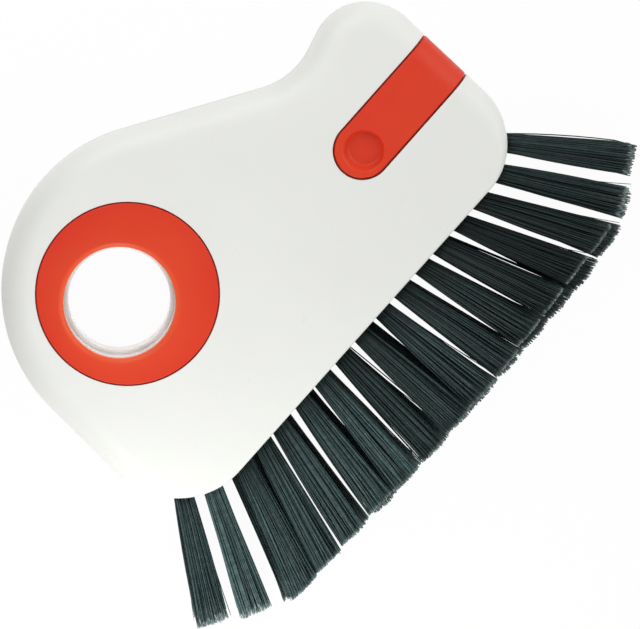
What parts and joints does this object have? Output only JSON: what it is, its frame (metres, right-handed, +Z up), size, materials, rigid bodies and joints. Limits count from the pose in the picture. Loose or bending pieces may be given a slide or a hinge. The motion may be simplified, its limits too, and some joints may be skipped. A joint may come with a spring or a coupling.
{
  "type": "keyboard cleaning brush",
  "caption": "Flat moulded hand brush with a finger hole in its palm end, a fan of nylon tufts along its lower edge and a sliding thumb tab at its nose.",
  "frame": {"origin": "on the rear face that the brush lies on, level with the middle of the finger hole and near the middle of the bristle edge", "axes": "+X along the bristle edge towards the nose and its tab, +Y away from the bristles, +Z up through the thickness to the front face"},
  "size_m": [0.1522, 0.1113, 0.022],
  "materials": {
    "white_plastic": "satin",
    "orange_plastic": "soft satin",
    "grey_plastic": "satin",
    "slate_bristle": "satin nylon",
    "screw_steel": "plated"
  },
  "bodies": {
    "body": {"front_shell": "white_plastic", "rear_shell": "white_plastic", "front_finger_ring": "orange_plastic", "rear_finger_ring": "orange_plastic", "bristle_block": "grey_plastic", "tuft_front_01": "slate_bristle", "tuft_front_02": "slate_bristle", "tuft_front_03": "slate_bristle", "tuft_front_04": "slate_bristle", "tuft_front_05": "slate_bristle", "tuft_front_06": "slate_bristle", "tuft_front_07": "slate_bristle", "tuft_front_08": "slate_bristle", "tuft_front_09": "slate_bristle", "tuft_front_10": "slate_bristle", "tuft_front_11": "slate_bristle", "tuft_front_12": "slate_bristle", "tuft_front_13": "slate_bristle", "tuft_front_14": "slate_bristle", "tuft_front_15": "slate_bristle", "tuft_front_16": "slate_bristle", "tuft_front_17": "slate_bristle", "tuft_rear_01": "slate_bristle", "tuft_rear_02": "slate_bristle", "tuft_rear_03": "slate_bristle", "tuft_rear_04": "slate_bristle", "tuft_rear_05": "slate_bristle", "tuft_rear_06": "slate_bristle", "tuft_rear_07": "slate_bristle", "tuft_rear_08": "slate_bristle", "tuft_rear_09": "slate_bristle", "tuft_rear_10": "slate_bristle", "tuft_rear_11": "slate_bristle", "tuft_rear_12": "slate_bristle", "tuft_rear_13": "slate_bristle", "tuft_rear_14": "slate_bristle", "tuft_rear_15": "slate_bristle", "tuft_rear_16": "slate_bristle", "tuft_rear_17": "slate_bristle", "shell_screw_1": "screw_steel", "shell_screw_2": "screw_steel", "shell_screw_3": "screw_steel", "shell_screw_4": "screw_steel"},
    "slider": {"slider_tab": "orange_plastic", "slider_carriage": "grey_plastic", "slider_screw": "screw_steel"}
  },
  "joints": [
    {"name": "tab_slide", "type": "slide", "parent": "body", "child": "slider", "axis": [1, 0, 0], "range_m": [0, 0.0177]}
  ]
}
